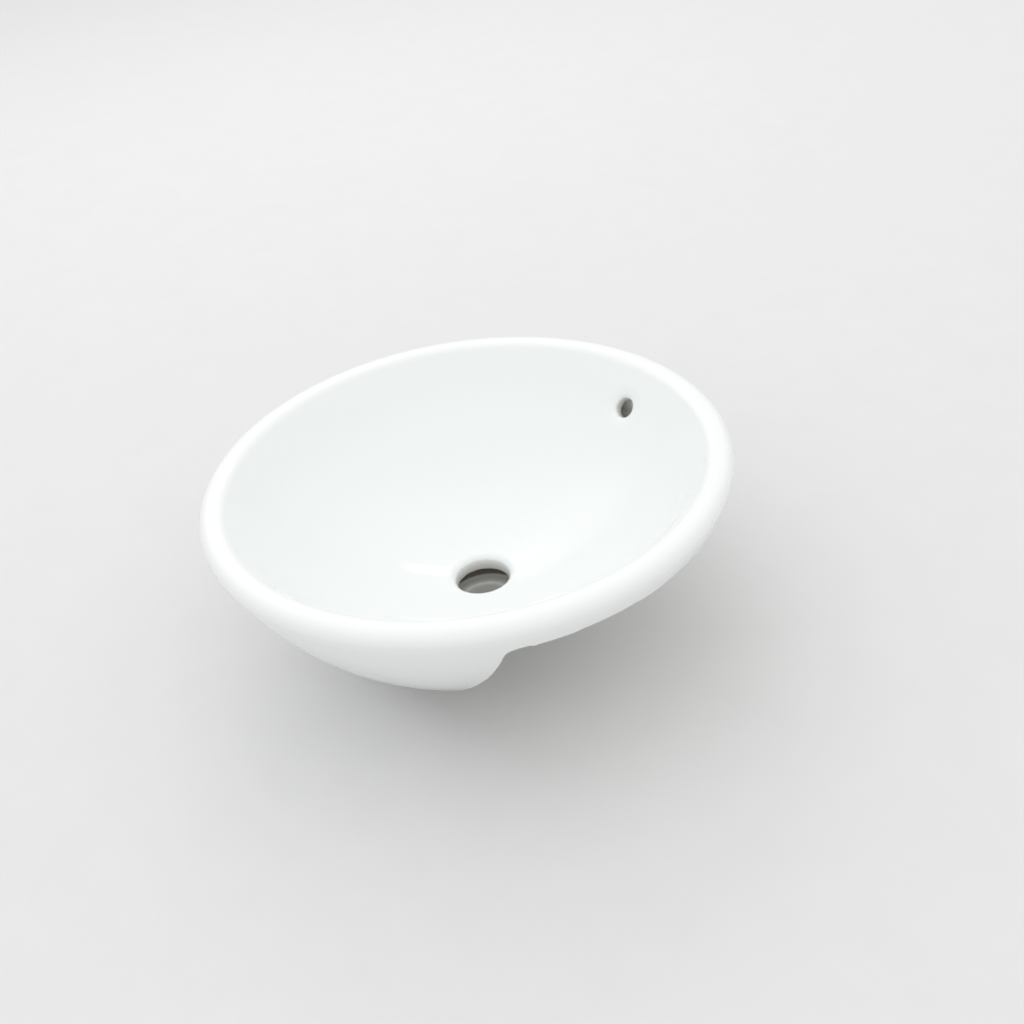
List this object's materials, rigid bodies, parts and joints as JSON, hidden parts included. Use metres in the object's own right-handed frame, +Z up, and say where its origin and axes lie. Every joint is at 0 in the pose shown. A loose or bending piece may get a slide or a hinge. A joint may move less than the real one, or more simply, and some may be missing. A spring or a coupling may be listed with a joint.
{
  "type": "semi recessed basin",
  "caption": "Round semi recessed wash basin in white glazed china with a rolled rim, a front shell, an overflow hole, a waste hole and screw clamps below.",
  "frame": {"origin": "on the bowl's vertical axis, in the plane of the flat seat under the rim", "axes": "+Z up, +X to the right seen from the front, -Y to the front where the shell hangs free"},
  "size_m": [0.454, 0.4539, 0.1705],
  "materials": {
    "china": "gloss",
    "foam": "matte",
    "nylon": "satin",
    "zinc_plated_steel": "satin"
  },
  "bodies": {
    "basin": {"basin_body": "china", "sealing_strip": "foam", "anchor_plug_left": "nylon", "anchor_plug_right": "nylon", "stud_left": "zinc_plated_steel", "stud_right": "zinc_plated_steel"},
    "left_washer": {"washer_left": "zinc_plated_steel"},
    "left_clamp": {"clamp_left": "zinc_plated_steel"},
    "left_wing_nut": {"wing_nut_left": "zinc_plated_steel"},
    "right_washer": {"washer_right": "zinc_plated_steel"},
    "right_clamp": {"clamp_right": "zinc_plated_steel"},
    "right_wing_nut": {"wing_nut_right": "zinc_plated_steel"}
  },
  "joints": [
    {"name": "left_clamp_drop", "type": "slide", "parent": "basin", "child": "left_washer", "axis": [0, 0, -1], "range_m": [0, 0.02]},
    {"name": "left_clamp_swing", "type": "hinge", "parent": "left_washer", "child": "left_clamp", "pos_m": [-0.08114, 0.17401, -0.043], "axis": [0, 0, 1], "range_deg": [-90, 90]},
    {"name": "left_nut_turn", "type": "hinge", "parent": "left_washer", "child": "left_wing_nut", "pos_m": [-0.08114, 0.17401, -0.05], "axis": [0, 0, -1], "range_deg": [0, 7200]},
    {"name": "right_clamp_drop", "type": "slide", "parent": "basin", "child": "right_washer", "axis": [0, 0, -1], "range_m": [0, 0.02]},
    {"name": "right_clamp_swing", "type": "hinge", "parent": "right_washer", "child": "right_clamp", "pos_m": [0.08114, 0.17401, -0.043], "axis": [0, 0, 1], "range_deg": [-90, 90]},
    {"name": "right_nut_turn", "type": "hinge", "parent": "right_washer", "child": "right_wing_nut", "pos_m": [0.08114, 0.17401, -0.05], "axis": [0, 0, -1], "range_deg": [0, 7200]}
  ],
  "couplings": [
    {"joint": "left_nut_turn", "follows": "left_clamp_drop", "rad_per_m": 6283.2},
    {"joint": "right_nut_turn", "follows": "right_clamp_drop", "rad_per_m": 6283.2}
  ]
}
